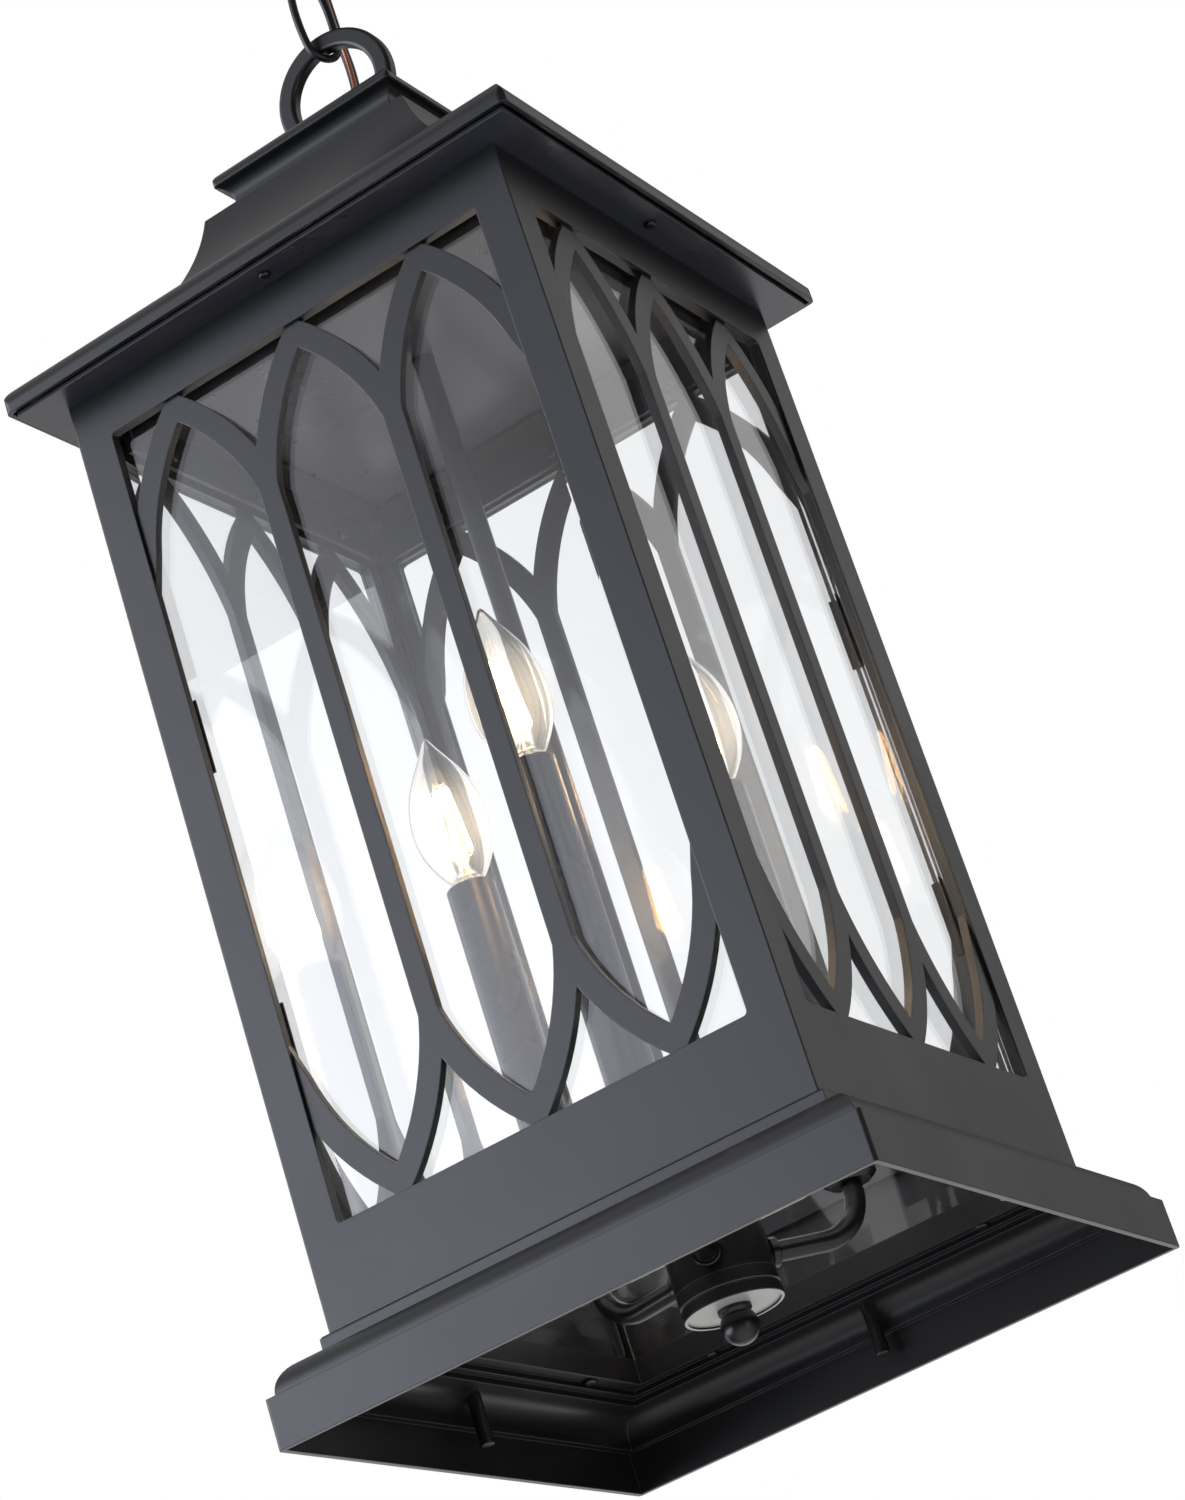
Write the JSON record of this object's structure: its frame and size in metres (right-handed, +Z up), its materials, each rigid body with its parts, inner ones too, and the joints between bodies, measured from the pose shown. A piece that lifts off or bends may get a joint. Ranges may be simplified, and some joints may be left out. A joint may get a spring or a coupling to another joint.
{
  "type": "hanging lantern",
  "caption": "Square hanging outdoor lantern with arched grilles over clear glass, a coved roof, an open moulded base and a candle lamp cluster, on a short chain from a ceiling canopy.",
  "frame": {"origin": "centre of the ceiling face, on the lantern's upright centre line", "axes": "+Z up to the ceiling, -Y out of the front grille, +X towards the right-hand grille"},
  "size_m": [0.2794, 0.2794, 0.7868],
  "materials": {
    "side_frame": "satin black powder coat with a fine texture",
    "arch_grille": "satin black powder coat with a fine texture",
    "base_metal": "satin black powder coat",
    "roof_metal": "satin black powder coat",
    "inner_metal": "matt black paint",
    "hanging_metal": "satin black paint over steel",
    "lamp_arm": "satin black paint",
    "lamp_hub": "satin black paint",
    "hub_cover": "satin dark grey paint",
    "candle_sleeve": "satin black paint",
    "black_screw": "blackened screw heads",
    "zinc_steel": "zinc plated",
    "socket_plastic": "black phenolic",
    "glass_pane": "clear, bevelled",
    "bulb_glass": "clear blown glass over a metal screw base",
    "wire_jacket": "black jacket",
    "ground_copper": "bare copper strand under a clear jacket"
  },
  "bodies": {
    "ceiling_mount": {"canopy": "roof_metal", "canopy_bushing": "wire_jacket", "canopy_loop": "hanging_metal", "screw_collar": "hanging_metal", "ceiling_crossbar": "zinc_steel", "supply_cord_upper": "wire_jacket", "ground_wire_upper": "ground_copper"},
    "chain_link_upper": {"chain_link_upper": "hanging_metal"},
    "chain_link_lower": {"chain_link_lower": "hanging_metal"},
    "lantern": {"arch_grille_back": "arch_grille", "arch_grille_front": "arch_grille", "arch_grille_left": "arch_grille", "arch_grille_right": "arch_grille", "arm_1": "lamp_arm", "arm_2": "lamp_arm", "arm_3": "lamp_arm", "base_moulding": "base_metal", "base_pegs": "black_screw", "base_screws": "black_screw", "bulb_sockets": "socket_plastic", "candle_cup_1": "lamp_arm", "candle_cup_2": "lamp_arm", "candle_cup_3": "lamp_arm", "candle_sleeve_1": "candle_sleeve", "candle_sleeve_2": "candle_sleeve", "candle_sleeve_3": "candle_sleeve", "clip_screws": "black_screw", "cord_bushing": "wire_jacket", "corner_angles": "inner_metal", "crown_cap": "roof_metal", "glass_clips": "inner_metal", "glass_ledge": "inner_metal", "glass_pane_back": "glass_pane", "glass_pane_front": "glass_pane", "glass_pane_left": "glass_pane", "glass_pane_right": "glass_pane", "glass_rail_screws": "zinc_steel", "glass_rails": "inner_metal", "ground_wire_lower": "ground_copper", "hanging_ring": "hanging_metal", "hub_body": "lamp_hub", "hub_cover": "hub_cover", "ring_collar": "hanging_metal", "ring_lock_nut": "zinc_steel", "roof_shell": "roof_metal", "side_frame_back": "side_frame", "side_frame_front": "side_frame", "side_frame_left": "side_frame", "side_frame_right": "side_frame", "soffit_plate": "roof_metal", "soffit_screws": "black_screw", "stem_lock_nut": "zinc_steel", "stem_tube": "lamp_arm", "stem_wires": "wire_jacket", "supply_cord_lower": "wire_jacket"},
    "bulb_1": {"bulb_1": "bulb_glass"},
    "bulb_2": {"bulb_2": "bulb_glass"},
    "bulb_3": {"bulb_3": "bulb_glass"},
    "finial_knob": {"finial_knob": "lamp_hub"}
  },
  "joints": [
    {"name": "upper_link_swing", "type": "hinge", "parent": "ceiling_mount", "child": "chain_link_upper", "pos_m": [0, 0, -0.05325], "axis": [0, 1, 0], "range_deg": [-12, 12], "deforming": ["supply_cord_upper", "ground_wire_upper"]},
    {"name": "lower_link_swing", "type": "hinge", "parent": "chain_link_upper", "child": "chain_link_lower", "pos_m": [0, 0, -0.09475], "axis": [1, 0, 0], "range_deg": [-12, 12]},
    {"name": "lantern_swing", "type": "hinge", "parent": "chain_link_lower", "child": "lantern", "pos_m": [0, 0, -0.1366], "axis": [0.4226, 0.9063, 0], "range_deg": [-12, 12], "deforming": ["supply_cord_lower", "ground_wire_lower"]},
    {"name": "bulb_1_turn", "type": "hinge", "parent": "lantern", "child": "bulb_1", "pos_m": [0.01928, -0.06385, -0.555], "axis": [0, 0, 1], "continuous": true},
    {"name": "bulb_2_turn", "type": "hinge", "parent": "lantern", "child": "bulb_2", "pos_m": [0.04566, 0.04862, -0.555], "axis": [0, 0, 1], "continuous": true},
    {"name": "bulb_3_turn", "type": "hinge", "parent": "lantern", "child": "bulb_3", "pos_m": [-0.06494, 0.01523, -0.555], "axis": [0, 0, 1], "continuous": true},
    {"name": "finial_turn", "type": "hinge", "parent": "lantern", "child": "finial_knob", "pos_m": [0, 0, -0.775], "axis": [0, 0, 1], "continuous": true}
  ]
}
